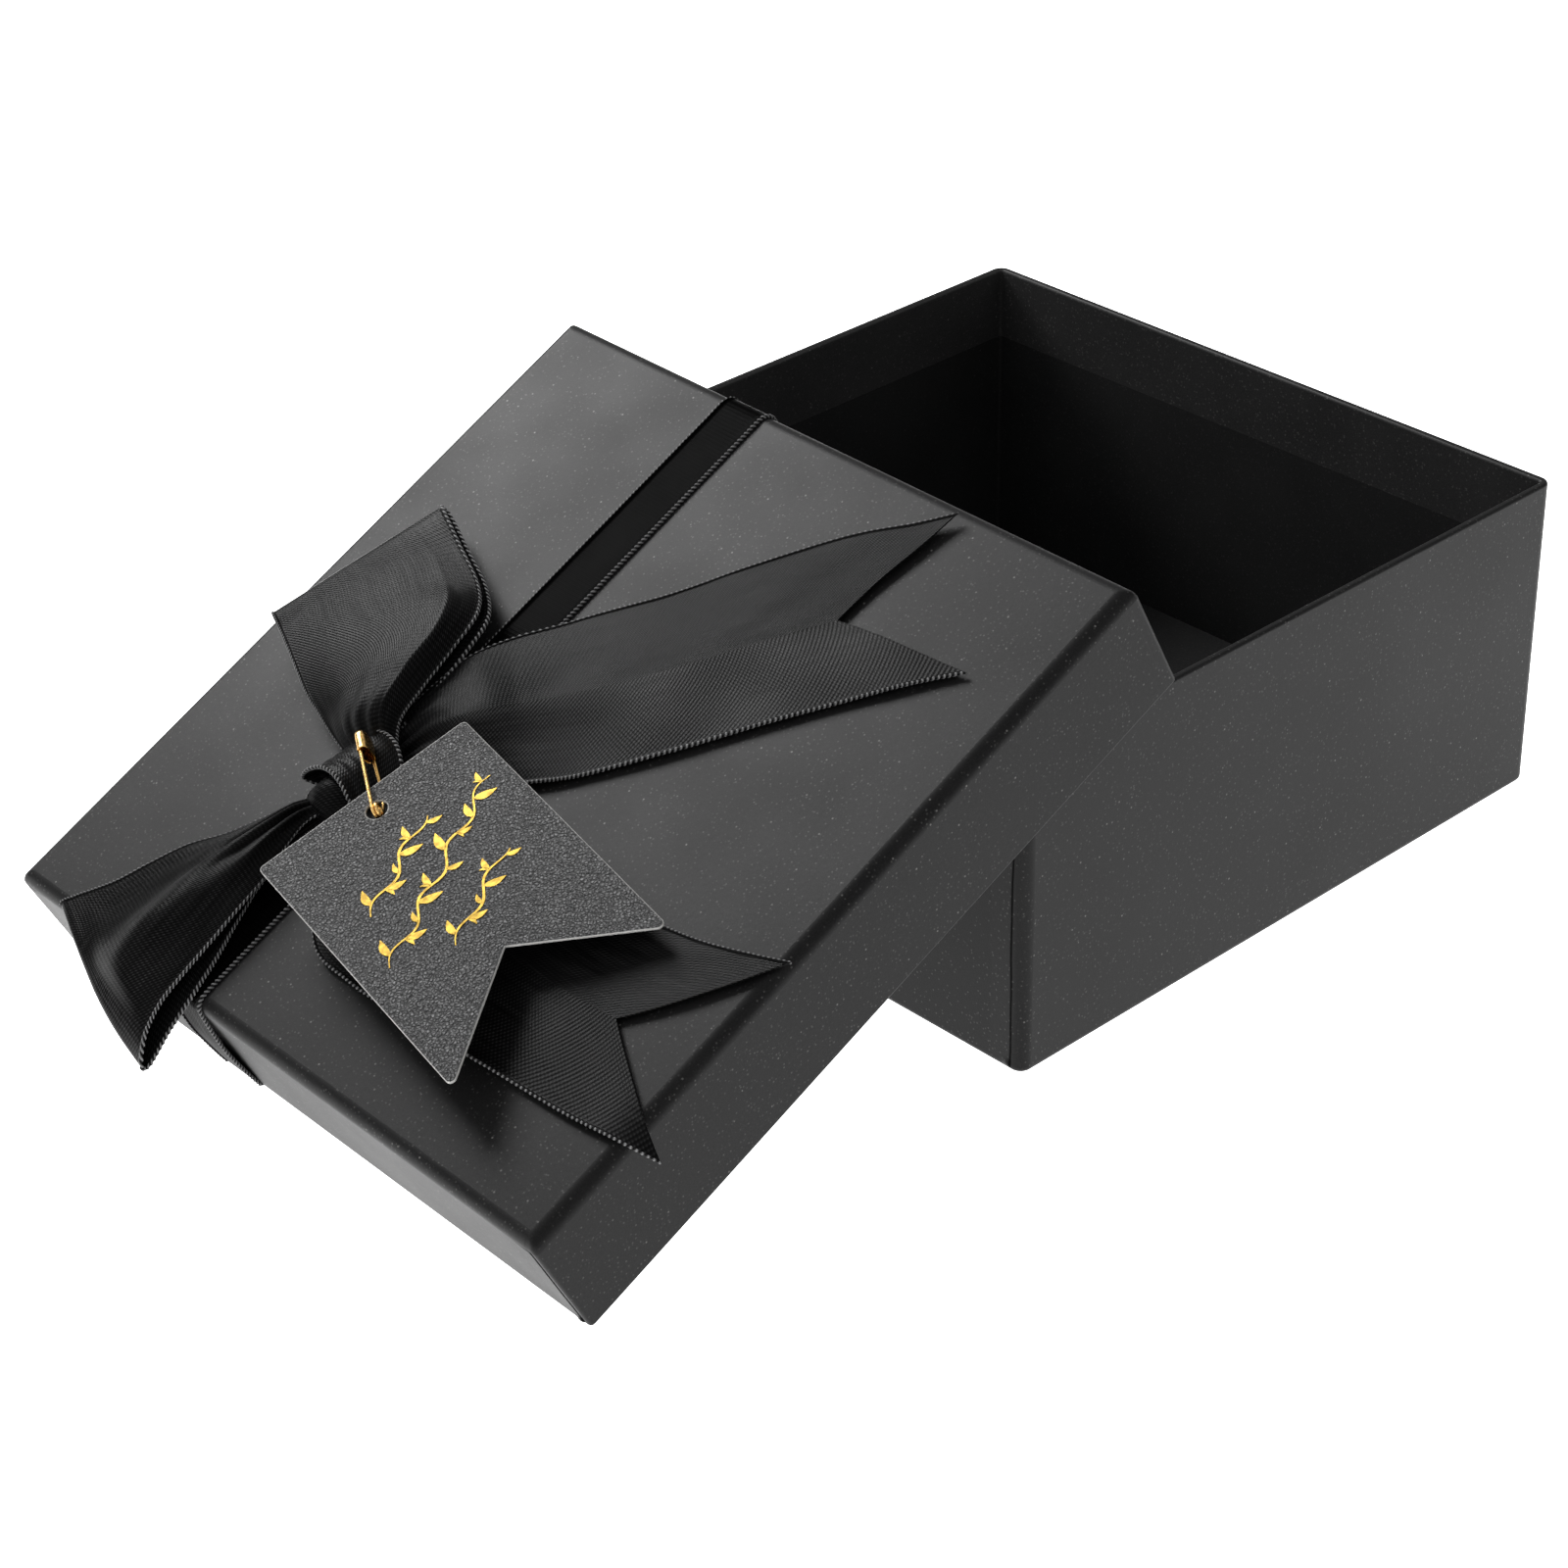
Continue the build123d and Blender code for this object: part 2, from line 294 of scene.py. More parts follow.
def specks(tree, place, scale, share, size):
    """A mask of small scattered dots, each with its own strength."""
    cells = node(tree, "TexVoronoi", {"Vector": place, "Scale": scale})
    chosen = node(tree, "SeparateColor", {"Color": cells.outputs["Color"]})
    rare = remap(tree, chosen.outputs["Red"], 1.0 - share, 1.0)
    dot = remap(tree, cells.outputs["Distance"], size, size * 1.8, 1.0, 0.0)
    return maths(tree, "MULTIPLY", rare, dot)


def paper(name, dark, light, rough, speck_light, gloss=0.36):
    """Covering paper: pulp grain, faint clouding, pearl specks of two sizes and dark cut edges."""
    made, tree, shader = new_material(name)
    place = object_place(tree)
    cloud = noise_node(tree, place, PAPER_CLOUD, 4.0)
    grain = remap(tree, noise_node(tree, place, PAPER_GRAIN, 2.0), 0.42, 0.75, 0.0, 0.6)
    colour = mix_colour(tree, remap(tree, cloud, 0.3, 0.7), dark, light)
    colour = mix_colour(tree, grain, colour, tuple(GRAIN_GAIN * value for value in light))
    fine = specks(tree, place, *FINE_SPECKS)
    large = specks(tree, place, *LARGE_SPECKS)
    speck = maths(tree, "MAXIMUM", maths(tree, "MULTIPLY", fine, FINE_SPECK_GAIN), large)
    colour = mix_colour(tree, speck, colour, speck_light)
    edge = painted(tree, "edge")
    colour = mix_colour(tree, edge, colour, CUT_EDGE_TONE)
    roughness = remap(tree, cloud, 0.3, 0.7, rough - 0.03, rough + 0.04)
    roughness = maths(tree, "MULTIPLY_ADD", edge, CUT_EDGE_ROUGHER, roughness, clamp=True)
    roughness = maths(tree, "MULTIPLY_ADD", speck, -SPECK_SMOOTHER, roughness)
    fibres = noise_node(tree, place, PAPER_FIBRE, 5.0, 0.65)
    feed(tree, shader, {
        "Base Color": colour, "Roughness": roughness, "Specular IOR Level": gloss,
        "Normal": bump(tree, fibres, *PAPER_BUMP),
    })
    return made


def satin(name, dark, light, painted_sheen_tone, gloss):
    """Black satin: fine slanted floats, lengthwise streaks, painted sheen on the weave crests and painted
    glints on the twisted selvedge beads.
    """
    made, tree, shader = new_material(name)
    weave = node(tree, "UVMap", uv_map="weave").outputs["UV"]
    parts = node(tree, "SeparateXYZ", {"Vector": weave})
    across, along = parts.outputs["X"], parts.outputs["Y"]
    slant = maths(tree, "MULTIPLY_ADD", along, FLOAT_SLANT, across)
    floats = maths(tree, "SINE", maths(tree, "MULTIPLY", slant, 2 * math.pi / FLOAT_PITCH))
    wefts = maths(tree, "SINE", maths(tree, "MULTIPLY", along, 2 * math.pi / WEFT_PITCH))
    stretched = node(tree, "Mapping", {"Vector": weave, "Scale": STREAK_SCALES}).outputs["Vector"]
    streak = noise_node(tree, stretched, 1.0, 3.0)
    cloud = noise_node(tree, object_place(tree), SATIN_CLOUD, 3.0)
    woven = maths(tree, "MULTIPLY_ADD", wefts, WEFT_SHARE, floats)
    lines = remap(tree, woven, -1 - WEFT_SHARE, 1 + WEFT_SHARE)
    # Painted sheen: weave crests along the lengthwise streaks tinted lighter, standing in for light on the
    # floats
    painted_sheen_lines = maths(tree, "MULTIPLY", maths(tree, "POWER", lines, 3.5), remap(tree, streak, 0.25, 0.7))
    colour = mix_colour(tree, remap(tree, cloud, 0.3, 0.7), dark, light)
    colour = mix_colour(tree, painted_sheen_lines, colour, painted_sheen_tone)
    # Painted glints: the selvedge beads' crests tinted pale
    colour = mix_colour(tree, painted(tree, "selvedge"), colour, SELVEDGE_PAINTED_GLINT_TONE)
    tangent = node(tree, "Tangent", direction_type="UV_MAP", uv_map="weave").outputs["Tangent"]
    feed(tree, shader, {
        "Base Color": colour, "Roughness": remap(tree, streak, 0.25, 0.75, 0.28, 0.42),
        "Specular IOR Level": gloss, "Anisotropic": 0.5, "Tangent": tangent,
        "Sheen Weight": 0.25 * gloss, "Sheen Roughness": 0.4, "Normal": bump(tree, lines, *WEAVE_BUMP),
    })
    return made


def leatherette(name):
    """Grey embossed leatherette: painted shade in the grain creases, pebble tops lighter, edges pale, partly
    the cut edge and partly a painted rim highlight.
    """
    made, tree, shader = new_material(name)
    place = object_place(tree)
    cells = node(tree, "TexVoronoi", {"Vector": place, "Scale": LEATHER_CELLS}, feature="DISTANCE_TO_EDGE")
    pebble = remap(tree, cells.outputs["Distance"], 0.02, 0.28)
    relief = maths(tree, "MULTIPLY", painted(tree, "relief"), 1 - LEATHER_FINE_SHARE)
    fine = noise_node(tree, place, LEATHER_GRAIN, 3.0)
    height = maths(tree, "MULTIPLY_ADD", pebble, LEATHER_FINE_SHARE, relief)
    # Painted shade: the grain creases darkened toward the crease tone
    tone = mix_colour(tree, maths(tree, "POWER", height, 2.4), CREASE_PAINTED_SHADE_TONE, PEBBLE_TONE)
    tone = mix_colour(tree, remap(tree, fine, 0.5, 0.8, 0.0, 0.25), tone, GRAIN_TONE)
    # Pale edges: partly the cut edge's own lighter tone, partly a painted rim highlight
    tone = mix_colour(tree, maths(tree, "POWER", painted(tree, "edge"), 2.5), tone, PALE_EDGE_AND_HIGHLIGHT_TONE)
    feed(tree, shader, {
        "Base Color": tone, "Roughness": remap(tree, height, 0.0, 1.0, 0.62, 0.40),
        "Specular IOR Level": 0.26, "Normal": bump(tree, height, *LEATHER_BUMP),
    })
    return made


def gold(name, rough, tone, depth, scale):
    """Gold plate or foil with a faint brushed unevenness."""
    made, tree, shader = new_material(name)
    wear = noise_node(tree, object_place(tree), scale, 4.0)
    deep = tuple(depth * value for value in tone)
    feed(tree, shader, {
        "Base Color": mix_colour(tree, remap(tree, wear, 0.35, 0.65), deep, tone), "Metallic": 1.0,
        "Roughness": remap(tree, wear, 0.3, 0.7, rough, rough + 0.12),
        "Normal": bump(tree, wear, *GOLD_BUMP),
    })
    return made


def greyboard(name):
    """Recycled grey board, seen only if a covering is taken off."""
    made, tree, shader = new_material(name)
    fibre = noise_node(tree, object_place(tree), 1400.0, 6.0, 0.7)
    tone = mix_colour(tree, remap(tree, fibre, 0.3, 0.7), (0.16, 0.15, 0.135), (0.30, 0.29, 0.265))
    feed(tree, shader, {
        "Base Color": tone, "Roughness": remap(tree, fibre, 0.3, 0.7, 0.8, 0.95),
        "Normal": bump(tree, fibre, *BOARD_BUMP),
    })
    return made


# Tones are dark, light, then roughness, speck tone and gloss
wrap_paper = paper("wrap_paper", (0.0046, 0.0046, 0.0048), (0.0074, 0.0073, 0.0074),
                   0.44, (0.115, 0.113, 0.11), 0.10)
# The turned-in paper is the covering paper painted several times lighter: painted light on the box's inner
# walls
turned_paper_painted_light = paper("turned_in_paper_painted_light", (0.016, 0.016, 0.0163), (0.024, 0.0238, 0.024),
                     0.5, (0.13, 0.128, 0.125), 0.2)
lining_paper = paper("lining_paper", (0.006, 0.006, 0.0062), (0.010, 0.010, 0.0102),
                     0.7, (0.04, 0.04, 0.04), 0.2)
stay_paper = paper("stay_paper", (0.42, 0.38, 0.30), (0.50, 0.46, 0.38), 0.8, (0.6, 0.57, 0.5))
# Tones are dark, light and the painted sheen on the weave crests, then gloss
bow_satin = satin("bow_satin", (0.0006, 0.0006, 0.0006), (0.0016, 0.0016, 0.0017),
                  (0.030, 0.030, 0.0304), 0.036)
# A darker copy of the satin for the band: painted shade for the band's darker look
band_satin_painted_shade = satin("band_satin_painted_shade", (0.0004, 0.0004, 0.0004), (0.0008, 0.0008, 0.0008),
                   (0.005, 0.005, 0.005), 0.005)
tag_leatherette = leatherette("tag_leatherette")
gold_wire = gold("gold_wire", 0.16, (0.90, 0.56, 0.19), 0.6, 1500.0)
gold_foil = gold("gold_foil", 0.30, (0.33, 0.21, 0.036), 0.42, 800.0)
board_grey = greyboard("greyboard")

NODE_MATERIALS = {
    "wrap_paper": wrap_paper, "lining_paper": lining_paper, "stay_paper": stay_paper,
    "greyboard": board_grey, "gold_wire": gold_wire, "tag_leatherette": tag_leatherette,
    "ribbon_satin": bow_satin,
}
SLOT_WORDS = {
    "stay_paper": ["stay"], "greyboard": ["board", "_wall_"],
    "lining_paper": ["liner", "ceiling", "floor_paper"], "gold_wire": ["pin_"],
    "tag_leatherette": ["tag"], "ribbon_satin": ["bow", "ribbon"],
}


def slot_of(name):
    """The record's material slot of a CAD node, from the words in its name."""
    for slot, words in SLOT_WORDS.items():
        if any(word in name for word in words):
            return slot
    return "wrap_paper"


def dress_cad_nodes():
    for name, thing in frame["nodes"].items():
        thing.data.materials.clear()
        thing.data.materials.append(NODE_MATERIALS[slot_of(name)])
    tray = frame["nodes"]["base_wrap"].data
    # The inward faces of the upper walls get the copy with painted light
    tray.materials.append(turned_paper_painted_light)
    half_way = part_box("base_wrap")[1][2] / 2
    for face in tray.polygons:
        inward = -face.center.xy.normalized().dot(face.normal.xy)
        if inward > 0.5 and face.center.z > half_way:
            face.material_index = 1


# ---- surfaces

def smooth_rows(rows, count):
    """Evenly spaced rows on a smooth curve through control rows of points."""
    rows = np.asarray(rows, float)
    gaps = np.linalg.norm(np.diff(rows, axis=0), axis=2).mean(axis=1)
    knots = np.concatenate([[0.0], np.cumsum(np.sqrt(gaps))])
    slopes = np.gradient(rows, knots, axis=0)
    fine = np.linspace(0.0, knots[-1], 6 * count)
    index = np.clip(np.searchsorted(knots, fine, side="right") - 1, 0, len(knots) - 2)
    span = np.diff(knots)[index][:, None, None]
    t = ((fine - knots[index])[:, None, None]) / span
    dense = (
        (1 + 2 * t) * (1 - t) ** 2 * rows[index]
        + t * (1 - t) ** 2 * span * slopes[index]
        + t ** 2 * (3 - 2 * t) * rows[index + 1]
        + t ** 2 * (t - 1) * span * slopes[index + 1]
    )
    steps = np.linalg.norm(np.diff(dense, axis=0), axis=2).mean(axis=1)
    length = np.concatenate([[0.0], np.cumsum(steps)])
    return pick_rows(dense, np.interp(np.linspace(0, length[-1], count), length, np.arange(len(fine))))


def pick_rows(rows, places):
    """Rows at fractional places, each a blend of its two neighbours."""
    lower = np.clip(np.floor(places).astype(int), 0, len(rows) - 2)
    share = (places - lower)[:, None, None]
    return rows[lower] * (1 - share) + rows[lower + 1] * share


def surface(net, along, across):
    """A smooth grid of points through a net of control rows."""
    grid = smooth_rows(net, along)
    return smooth_rows(grid.transpose(1, 0, 2), across).transpose(1, 0, 2)


def creased(net, column, reach):
    """A net with extra control points close on both sides of one column, for a crisp fold along it."""
    rows = []
    for row in np.asarray(net, float):
        before, fold, after = row[column - 1:column + 2]
        near = [fold + (before - fold) * reach, fold, fold + (after - fold) * reach]
        rows.append([*row[:column], *near, *row[column + 1:]])
    return np.array(rows)


def strip_length(net):
    """The length of a net's middle line."""
    middle = smooth_rows(net, 200).mean(axis=1)
    return np.linalg.norm(np.diff(middle, axis=0), axis=1).sum()


def swallowtail(grid, depth_share):
    """Shortens the middle of a grid's far end into a V."""
    rows, columns, _ = grid.shape
    cut = grid.copy()
    for column in range(columns):
        side = abs(2 * column / (columns - 1) - 1)
        end = 1 - depth_share * (1 - side)
        places = np.linspace(0, (rows - 1) * end, rows)
        cut[:, column] = pick_rows(grid[:, column:column + 1], places)[:, 0]
    return cut


def grid_normals(grid):
    return unit(np.cross(np.gradient(grid, axis=0), np.gradient(grid, axis=1)))


def show(name, data):
    """A new object in the scene."""
    thing = bpy.data.objects.new(name, data)
    bpy.context.scene.collection.objects.link(thing)
    return thing


def store(thing, name, values):
    """Stores a number at each point of a mesh, for its material to read."""
    attribute = thing.data.attributes.new(name, "FLOAT", "POINT")
    attribute.data.foreach_set("value", values.ravel().astype(np.float32))


def loop_points(data):
    """The vertex number of each face corner of a mesh."""
    index = np.zeros(len(data.loops), int)
    data.loops.foreach_get("vertex_index", index)
    return index


def grid_quads(index):
    """The faces of a grid of vertex numbers."""
    sides = [index[:-1, :-1], index[1:, :-1], index[1:, 1:], index[:-1, 1:]]
    return np.stack(sides, axis=-1).reshape(-1, 4)


def add_mesh(name, points, faces, material, body, uv=None, smooth=True):
    """A mesh object from points in metres, riding on a body."""
    data = bpy.data.meshes.new(name)
    data.from_pydata([tuple(point) for point in points], [], [tuple(face) for face in faces])
    if uv is not None:
        layer = data.uv_layers.new(name="weave")
        layer.data.foreach_set("uv", uv[loop_points(data)].ravel())
    mesh = bmesh.new()
    mesh.from_mesh(data)
    bmesh.ops.recalc_face_normals(mesh, faces=mesh.faces)
    mesh.to_mesh(data)
    mesh.free()
    data.polygons.foreach_set("use_smooth", [smooth] * len(data.polygons))
    data.materials.append(material)
    thing = show(name, data)
    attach(thing, body)
    return thing


def ribbon(name, grid, width, place, body, lift=None, material=None):
    """A closed woven strip over a grid, with a twisted bead along both selvedges."""
    rows, columns, _ = grid.shape
    normals = grid_normals(grid)
    lengths = np.linalg.norm(np.diff(grid, axis=0), axis=2).mean(axis=1)
    travel = np.concatenate([[0.0], np.cumsum(lengths)])
    if lift is not None:
        share = np.linspace(0, 1, columns)
        spread_now = np.linalg.norm(np.diff(grid, axis=1), axis=2).sum(axis=1)
        grid = grid + normals * lift(travel[:, None], share[None, :], spread_now[:, None])[:, :, None]
        normals = grid_normals(grid)
    angles = np.radians(np.linspace(BEAD_REACH, -BEAD_REACH, BEAD_POINTS))
    top = grid + normals * CLOTH_HALF
    bottom = grid - normals * CLOTH_HALF

    def bead(edge, outward, normal, turns, phase):
        outward = unit(outward)
        wave = np.sin(2 * np.pi * travel[:, None] / BEAD_PITCH + 1.5 * turns[None, :] + phase)
        radius = BEAD_RADIUS * (1 + BEAD_TWIST * wave)
        ring = (
            edge[:, None]
            + outward[:, None] * (radius * np.cos(turns))[:, :, None]
            + normal[:, None] * (radius * np.sin(turns))[:, :, None]
        )
        # The shine is a painted glint on each bead's crest, read by the satin's colour
        return ring, np.clip(0.25 + 0.8 * wave, 0, 1) ** 1.5

    right, right_shine = bead(grid[:, -1], grid[:, -1] - grid[:, -2], normals[:, -1], angles, 0.0)
    left, left_shine = bead(grid[:, 0], grid[:, 0] - grid[:, 1], normals[:, 0], -angles, 1.0)
    ring = np.concatenate([top, right, bottom[:, ::-1], left], axis=1)
    plain = np.zeros((rows, columns))
    shine = np.concatenate([plain, right_shine, plain, left_shine], axis=1)
    around = ring.shape[1]
    index = np.arange(rows * around).reshape(rows, around)
    after = np.roll(index, -1, axis=1)
    quads = np.stack([index[:-1], after[:-1], after[1:], index[1:]], axis=-1).reshape(-1, 4)
    faces = [tuple(quad) for quad in quads]
    faces += end_caps(index[0], columns) + end_caps(index[-1], columns)
    share = np.linspace(0, width, columns) * MM
    bead_right = np.full(BEAD_POINTS, (width + BEAD_RADIUS) * MM)
    bead_left = np.full(BEAD_POINTS, -BEAD_RADIUS * MM)
    across = np.concatenate([share, bead_right, share[::-1], bead_left])
    uv = np.stack(np.broadcast_arrays(across[None, :], travel[:, None] * MM), axis=-1)
    thing = add_mesh(name, place(ring.reshape(-1, 3)), faces, material or bow_satin, body,
                     uv.reshape(-1, 2))
    # The selvedge attribute holds the painted glints of the beads
    store(thing, "selvedge", shine)
    return thing, travel[-1]


def end_caps(ring, columns):
    """Faces that close one end of a strip's ring."""
    def under(column):
        return ring[columns + BEAD_POINTS + columns - 1 - column]
    faces = [(ring[k], ring[k + 1], under(k + 1), under(k)) for k in range(columns - 1)]
    faces.append(tuple(ring[columns - 1:columns + BEAD_POINTS + 1]))
    faces.append((under(0), *ring[2 * columns + BEAD_POINTS:], ring[0]))
    return faces


def rows_for(net):
    return int(strip_length(net) / ROW_STEP)


# ---- ribbon band

def band_path():
    """The band's line round the lid's section, from inside the low skirt to inside the high one."""
    half = lid_size[0] / 2
    depth = lid_size[2]
    wall = 1.8
    proud = 0.36
    tuck = 12.0
    inner = half - wall - proud
    outer = half + proud
    loose = 0.9
    side = [
        (inner, tuck - depth), (inner, 1.0 - depth), (inner + 0.3, -depth - proud * 0.6),
        (half - wall / 2, -depth - proud), (outer - 0.3, -depth - proud * 0.6), (outer, 1.2 - depth),
    ]
    corner = [
        (outer - (1 - math.cos(math.radians(turn))) * (LID_EDGE + proud),
         -LID_EDGE + math.sin(math.radians(turn)) * (LID_EDGE + proud))
        for turn in (0, 22, 45, 68, 90)
    ]
    high = side + [(outer, -depth / 2)] + corner
    low = side + [(outer + loose * 0.7, -depth * 0.72), (outer + loose, -depth * 0.5),
                  (outer + loose * 0.5, -depth * 0.25)] + corner
    top = [(x, proud) for x in np.linspace(-half + 8, half - 8, 12)]
    return [(-x, h) for x, h in low] + top + [(x, h) for x, h in reversed(high)]


def above_floor(points):
    """Places in the lid's frame, pressed flat where they meet the floor."""
    placed = lid.place(points)
    placed[:, 2] = np.maximum(placed[:, 2], 0.05 * MM)
    return placed


def make_band():
    line = band_path()
    net = [[(x, BAND_Y - BAND_WIDTH / 2 + BEAD_RADIUS, h), (x, BAND_Y, h),
            (x, BAND_Y + BAND_WIDTH / 2 - BEAD_RADIUS, h)] for x, h in line]
    grid = surface(net, rows_for(net), BAND_COLUMNS)
    thing, length = ribbon("ribbon_band_cloth", grid, BAND_WIDTH, above_floor, "lid", material=band_satin_painted_shade)
    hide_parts("ribbon_band")


# ---- bow

def spread(first, last, heights):
    """A control row from one edge to the other, with its own heights."""
    share = np.linspace(0, 1, len(heights))
    return [
        (first[0] + (last[0] - first[0]) * s, first[1] + (last[1] - first[1]) * s, h)
        for s, h in zip(share, heights)
    ]


# Tenths of a millimetre: X, Y and H of six points a row, from the knot out over the loop and back under it
UPPER_LOOP = np.reshape([
    -270, 305, 34, -256, 295, 40, -242, 285, 46, -228, 272, 50, -214, 258, 52, -200, 242, 48,
    -250, 380, 40, -235, 365, 64, -215, 345, 84, -190, 315, 98, -165, 288, 105, -154, 268, 68,
    -228, 450, 55, -180, 435, 78, -135, 405, 92, -95, 360, 104, -65, 318, 111, -70, 288, 68,
    -205, 520, 62, -140, 500, 78, -60, 460, 90, 0, 400, 100, 35, 336, 108, 36, 308, 65,
    -180, 575, 66, -105, 550, 78, -20, 510, 86, 55, 450, 92, 103, 380, 99, 120, 328, 63,
    -150, 640, 68, -75, 615, 76, 5, 575, 82, 85, 515, 84, 140, 445, 84, 166, 365, 76,
    -122, 703, 69, -45, 675, 73, 35, 640, 76, 115, 590, 78, 180, 535, 77, 225, 495, 73,
    -100, 756, 69, -24, 728, 70, 52, 700, 71, 128, 672, 71, 204, 644, 71, 280, 616, 69,
    -97, 765, 59, -21, 737, 59, 55, 709, 59, 131, 682, 59, 208, 654, 59, 284, 626, 59,
    -99, 754, 49, -23, 726, 48, 53, 699, 48, 130, 671, 48, 206, 643, 49, 284, 615, 50,
    -124, 700, 42, -46, 672, 40, 34, 637, 40, 115, 588, 42, 183, 535, 46, 234, 495, 50,
    -152, 638, 36, -76, 612, 34, 5, 572, 34, 86, 513, 38, 143, 445, 44, 180, 372, 51,
    -182, 572, 32, -106, 545, 30, -20, 505, 31, 55, 445, 35, 104, 380, 42, 128, 310, 49,
    -207, 515, 29, -140, 495, 28, -60, 455, 29, -5, 400, 33, 35, 345, 39, 58, 296, 43,
    -230, 445, 27, -185, 430, 26, -135, 400, 28, -95, 360, 32, -65, 320, 36, -50, 284, 40,
    -250, 380, 25, -230, 365, 25, -205, 345, 27, -180, 320, 30, -160, 300, 33, -145, 282, 36,
    -270, 310, 22, -256, 300, 23, -242, 290, 25, -228, 280, 26, -214, 270, 28, -200, 260, 30,
], (-1, 6, 3)) / 10

LOWER_LOOP = np.reshape([
    -340, 330, 18, -340, 316, 22, -340, 302, 24, -342, 288, 24, -343, 274, 22, -344, 260, 19,
    -392, 344, 28, -397, 336, 40, -400, 328, 46, -403, 319, 46, -405, 309, 40, -407, 296, 31,
    -460, 366, 49, -467, 349, 61, -471, 333, 70, -475, 315, 74, -478, 297, 66, -484, 276, 46,
    -532, 402, 58, -539, 375, 70, -545, 348, 82, -550, 318, 92, -553, 286, 78, -562, 254, 49,
    -595, 463, 56, -605, 420, 64, -614, 378, 80, -622, 338, 96, -632, 289, 76, -648, 244, 49,
    -663, 512, 48, -673, 460, 52, -683, 410, 68, -698, 346, 98, -712, 292, 72, -732, 240, 44,
    -727, 556, 38, -738, 498, 40, -752, 440, 54, -773, 362, 92, -790, 300, 66, -810, 238, 39,
    -764, 590, 32, -782, 530, 31, -802, 468, 40, -829, 376, 76, -848, 309, 57, -866, 236, 33,
    -790, 616, 28, -812, 554, 26, -838, 490, 30, -870, 388, 55, -890, 314, 44, -906, 230, 24,
    -808, 632, 26, -836, 560, 23, -866, 490, 23, -892, 416, 28, -914, 326, 25, -936, 222, 14,
    -820, 644, 24, -851, 564, 21, -886, 484, 19, -916, 404, 16, -940, 316, 9, -964, 214, -4,
    -826, 652, 18, -862, 566, 17, -897, 480, 14, -929, 398, 8, -956, 312, -4, -980, 212, -24,
    -828, 654, 11, -865, 567, 9, -900, 481, 6, -932, 398, -1, -959, 311, -14, -982, 209, -32,
    -822, 652, 5, -857, 562, 3, -892, 476, 0, -922, 394, -8, -949, 308, -20, -972, 206, -34,
    -760, 604, 6, -794, 524, 5, -830, 448, 3, -862, 372, 1, -886, 294, -4, -896, 206, -8,
    -688, 549, 8, -722, 478, 7, -755, 412, 7, -784, 346, 9, -802, 280, 11, -808, 210, 12,
    -616, 498, 11, -647, 438, 10, -676, 380, 12, -700, 326, 14, -718, 274, 17, -730, 225, 19,
    -546, 446, 14, -570, 398, 14, -595, 355, 15, -617, 315, 18, -634, 280, 21, -650, 249, 24,
    -475, 376, 19, -490, 354, 20, -506, 333, 22, -522, 312, 24, -538, 292, 25, -553, 274, 26,
    -412, 338, 14, -419, 326, 15, -426, 314, 15, -433, 302, 16, -440, 290, 16, -447, 282, 17,
    -340, 320, 9, -341, 309, 9, -342, 298, 10, -343, 287, 10, -344, 276, 10, -345, 266, 10,
], (-1, 6, 3)) / 10

RIGHT_TAIL = [spread(*row) for row in [
    ((-24, 30), (-24.5, 21.5), (2.2, 1.8, 1.6, 1.8, 2.0)),
    ((-13, 31), (-19, 14), (3.2, 4.4, 4.6, 3.6, 2.0)),
    ((-4, 29.5), (-15.5, 5.5), (3.8, 5.8, 6.2, 4.2, 1.8)),
    ((4.5, 28), (-12.5, -2.5), (3.6, 5.6, 5.8, 3.6, 1.5)),
    ((12.2, 24.4), (-9, -8), (2.6, 3.8, 4.2, 2.6, 1.4)),
    ((21.8, 16.6), (-4, -14), (1.6, 2.2, 2.6, 1.9, 1.3)),
    ((35.3, 4.0), (9.4, -26.9), (1.2, 1.4, 1.8, 1.6, 1.2)),
    ((49.6, -7.8), (23.6, -39.6), (1.2, 1.6, 1.3, 1.2, 1.2)),
    ((65.8, -22.5), (38.5, -53.8), (1.4, 1.3, 1.2, 1.4, 1.2)),
    ((74.3, -33.2), (46.2, -61.6), (1.7, 1.3, 1.2, 1.3, 1.2)),
    ((79.6, -39.4), (51.4, -67.4), (2.0, 1.2, 1.1, 1.2, 1.2)),
]]

FRONT_TAIL = [spread(*row) for row in [
    ((-27, 21), (-34, 24), (1.8, 2.0, 2.0, 1.9, 1.8)),
    ((-25, 14), (-47, 19), (2.0, 3.4, 3.8, 3.0, 1.8)),
    ((-21.5, 2), (-60.2, 6.4), (1.6, 2.8, 3.2, 2.4, 1.3)),
    ((-21, -12), (-62.4, -7), (1.3, 2.0, 2.3, 2.0, 1.2)),
    ((-21.3, -30), (-61.9, -27), (1.2, 1.4, 1.6, 1.5, 1.2)),
    ((-21.6, -48), (-60.9, -48), (1.2, 1.2, 1.3, 1.3, 1.2)),
    ((-19.6, -65), (-59.8, -70), (1.2, 1.3, 1.2, 1.2, 1.2)),
    ((-16.6, -76), (-58.4, -82), (1.2, 1.2, 1.2, 1.1, 0.9)),
    ((-14.2, -83.5), (-56.8, -90), (1.1, 1.1, 1.0, 0.3, -1.8)),
]]

KNOT_CENTRE = (-27.5, 26.5)
KNOT_TURN = -16.0
